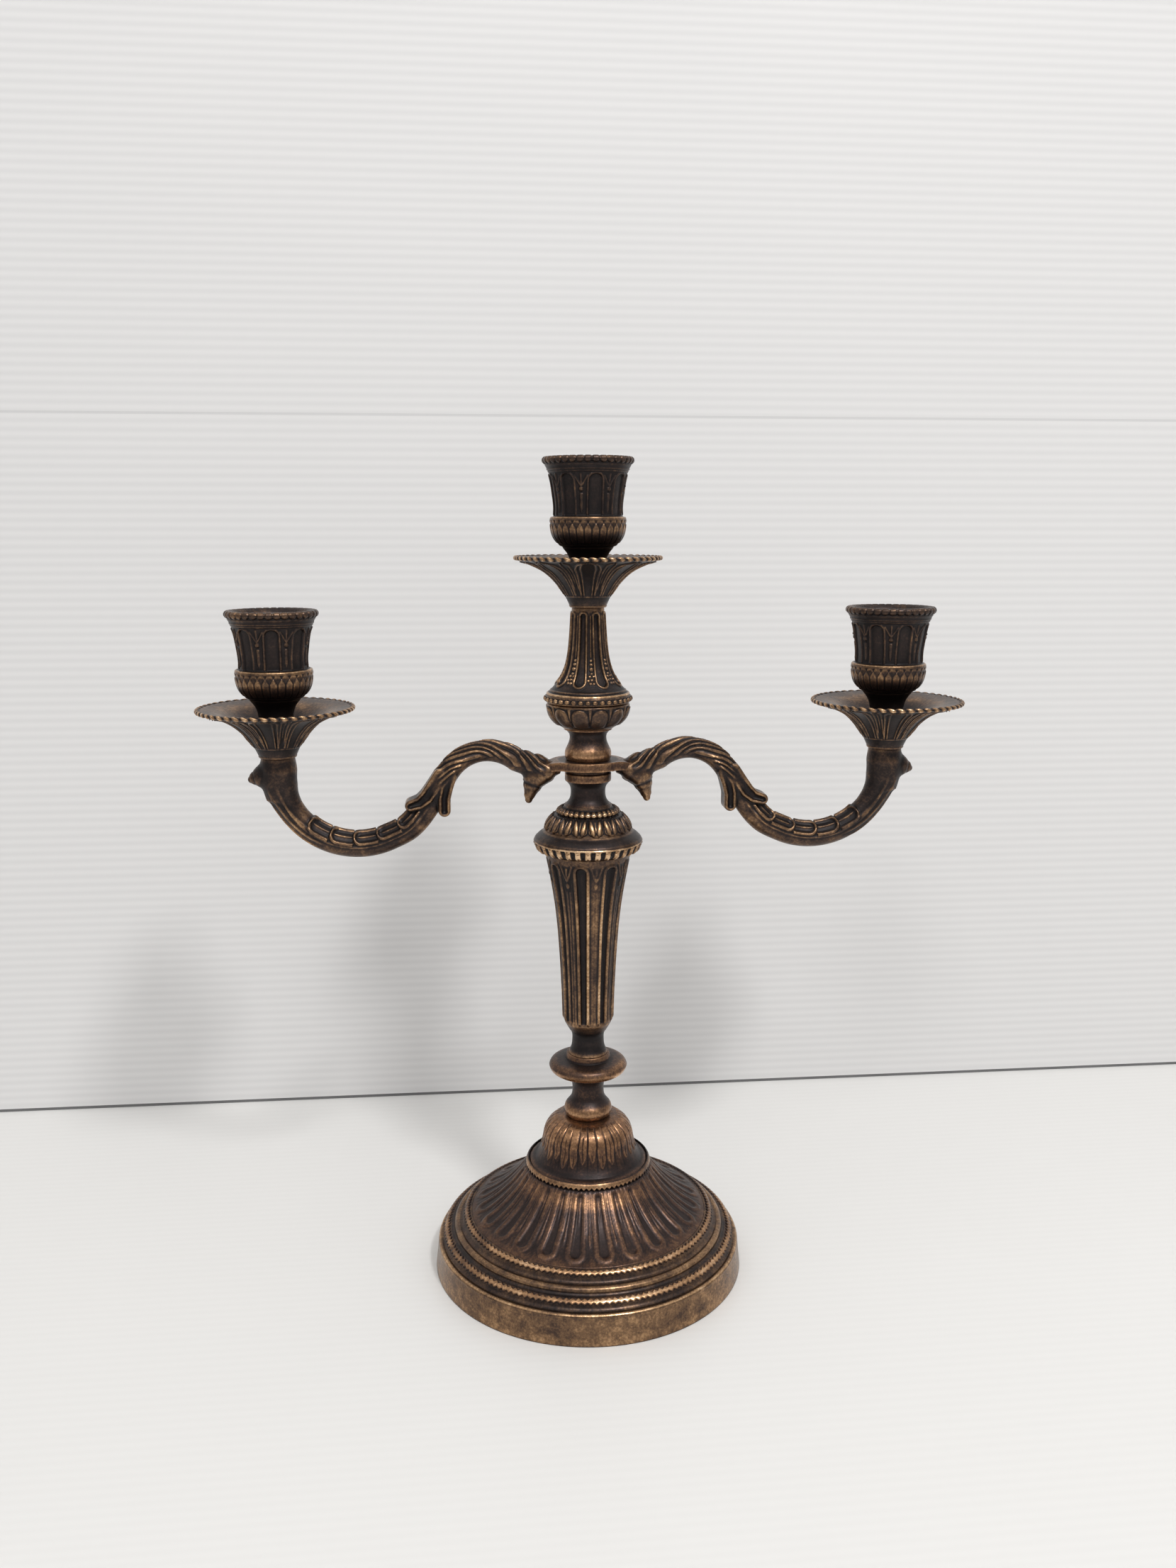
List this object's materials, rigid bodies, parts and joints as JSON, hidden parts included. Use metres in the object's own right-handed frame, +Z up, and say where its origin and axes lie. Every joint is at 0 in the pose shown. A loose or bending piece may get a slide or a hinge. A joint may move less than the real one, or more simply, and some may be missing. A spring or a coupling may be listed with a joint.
{
  "type": "candelabra",
  "caption": "Table candelabra in antique brass: round stepped base, fluted column, two scrolled leaf arms and a raised centre light, each with drip pan and candle cup.",
  "frame": {"origin": "centre of the base's rim, on the table", "axes": "+Z up the stem, arms along +X and -X, seen in the picture from about -Y"},
  "size_m": [0.2974, 0.127, 0.3272],
  "materials": {
    "base_bronze": "antique bronze patina, worn golden on raised beads",
    "turned_bronze": "antique bronze patina, satin, worn on edges",
    "cast_bronze": "antique bronze patina in the recesses, burnished brass on the relief",
    "arm_bronze": "antique bronze patina, mottled, worn brass on leaf edges",
    "pan_bronze": "dark antique bronze patina, worn rim",
    "cup_bronze": "dark antique bronze patina, worn shoulder",
    "steel_hardware": "dull steel fasteners"
  },
  "bodies": {
    "stand": {"base_shell": "base_bronze", "base_washer": "steel_hardware", "base_nut": "steel_hardware", "tie_rod": "steel_hardware", "knop": "turned_bronze", "fluted_column": "cast_bronze", "beaded_collar": "cast_bronze", "leaf_dome": "cast_bronze", "neck_spool": "turned_bronze", "hub_washer": "steel_hardware", "upper_spool": "turned_bronze", "gadroon_bowl": "cast_bronze", "centre_stem": "cast_bronze", "centre_drip_pan": "pan_bronze", "centre_cup_screw": "steel_hardware"},
    "arms": {"hub_plate": "arm_bronze", "left_arm": "arm_bronze", "right_arm": "arm_bronze", "left_drip_pan": "pan_bronze", "right_drip_pan": "pan_bronze", "left_cup_screw": "steel_hardware", "right_cup_screw": "steel_hardware"},
    "left_cup": {"left_candle_cup": "cup_bronze"},
    "centre_cup": {"centre_candle_cup": "cup_bronze"},
    "right_cup": {"right_candle_cup": "cup_bronze"}
  },
  "joints": [
    {"name": "arm_swivel", "type": "hinge", "parent": "stand", "child": "arms", "pos_m": [0, 0, 0.211], "axis": [0, 0, 1], "continuous": true},
    {"name": "left_cup_turn", "type": "hinge", "parent": "arms", "child": "left_cup", "pos_m": [-0.1189, 0, 0.2264], "axis": [0, 0, 1], "continuous": true},
    {"name": "centre_cup_turn", "type": "hinge", "parent": "stand", "child": "centre_cup", "pos_m": [0, 0, 0.2825], "axis": [0, 0, 1], "continuous": true},
    {"name": "right_cup_turn", "type": "hinge", "parent": "arms", "child": "right_cup", "pos_m": [0.1189, 0, 0.2264], "axis": [0, 0, 1], "continuous": true}
  ]
}
